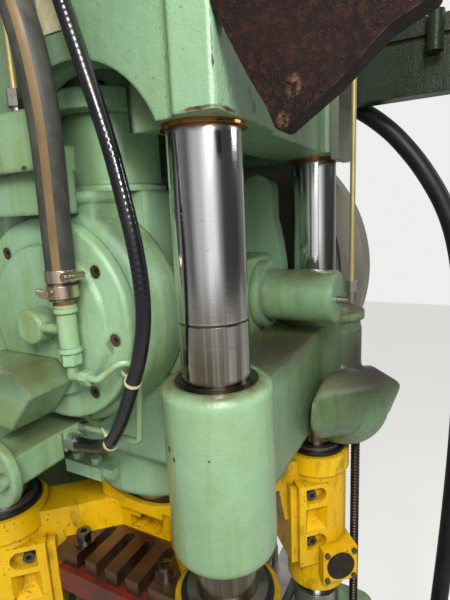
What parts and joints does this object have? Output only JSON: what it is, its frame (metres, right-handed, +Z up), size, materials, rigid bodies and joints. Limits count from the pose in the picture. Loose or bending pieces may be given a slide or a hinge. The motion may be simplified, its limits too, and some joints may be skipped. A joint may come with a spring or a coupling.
{
  "type": "high-speed stamping press",
  "caption": "Straight-side stamping press whose ram hangs on round guide columns below an overhanging head, with a side flywheel, top motor and oil hoses.",
  "frame": {"origin": "on the floor, at the centre of the base, which is below the centre of the ram", "axes": "+Z up, -Y to the operator's front, +X to the flywheel's side"},
  "size_m": [0.8, 1.08, 2.06],
  "materials": {
    "green_paint": "semi-gloss reseda paint with oil film and chips",
    "yellow_paint": "gloss yellow paint with chipped edges",
    "red_paint": "worn red paint",
    "chrome_steel": "hard chrome",
    "machined_steel": "machined steel with oil",
    "screw_steel": "blackened steel",
    "bronze": "oiled bronze",
    "brass_tube": "drawn brass",
    "rusted_steel": "rusted thick plate",
    "cast_grey": "turned grey iron",
    "black_rubber": "matte rubber"
  },
  "bodies": {
    "frame": {"balance_cap": "green_paint", "balance_cylinder": "green_paint", "base": "green_paint", "bolster_plate": "machined_steel", "box_end_flange": "green_paint", "bracket_plate": "rusted_steel", "brass_tubes": "brass_tube", "cover_block": "green_paint", "crown": "green_paint", "crown_rings": "bronze", "die_block": "machined_steel", "drive_belts": "black_rubber", "drum_cover": "green_paint", "drum_pipe": "green_paint", "facing_plate": "machined_steel", "frame_head": "green_paint", "guide_bushes": "bronze", "hose_clamps": "machined_steel", "hose_ports": "machined_steel", "hydraulic_hose": "black_rubber", "left_bearing_housing": "green_paint", "levelling_feet": "machined_steel", "lower_guides": "machined_steel", "lower_tool_shoe": "machined_steel", "main_bearings": "bronze", "motor": "green_paint", "oil_box": "green_paint", "oil_distributor": "green_paint", "oil_union": "green_paint", "pivot_housing": "green_paint", "right_bearing_housing": "green_paint", "side_beam": "green_paint", "socket_screws": "screw_steel", "striped_hose": "black_rubber", "tee_fitting": "green_paint", "thick_hose": "black_rubber", "threaded_spindle": "machined_steel", "tool_clamps": "machined_steel", "tool_guide_posts": "chrome_steel", "tube_fittings": "machined_steel"},
    "ram": {"column_front_left": "chrome_steel", "column_rear_left": "chrome_steel", "column_front_right": "chrome_steel", "column_rear_right": "chrome_steel", "ram": "yellow_paint", "ram_screws": "screw_steel", "worm_covers": "machined_steel", "sleeve_seals": "black_rubber", "sleeve_rings": "screw_steel", "plunger": "chrome_steel", "hub_guards": "yellow_paint", "tool_plate": "machined_steel", "upper_tool_shoe": "red_paint", "tool_guide_bushes": "bronze", "punch_block": "machined_steel"},
    "crank": {"eccentric_shaft": "chrome_steel", "flywheel": "cast_grey", "drive_pulley": "cast_grey"},
    "motor_rotor": {"motor_pulley": "cast_grey"}
  },
  "joints": [
    {"name": "ram_slide", "type": "slide", "parent": "frame", "child": "ram", "axis": [0, 0, 1], "range_m": [-0.02, 0]},
    {"name": "crank_spin", "type": "hinge", "parent": "frame", "child": "crank", "pos_m": [0, 0, 1.475], "axis": [1, 0, 0], "continuous": true},
    {"name": "motor_spin", "type": "hinge", "parent": "frame", "child": "motor_rotor", "pos_m": [0, 0.44, 1.846], "axis": [1, 0, 0], "continuous": true}
  ],
  "couplings": [
    {"joint": "motor_spin", "follows": "crank_spin", "ratio": 2.7143}
  ]
}
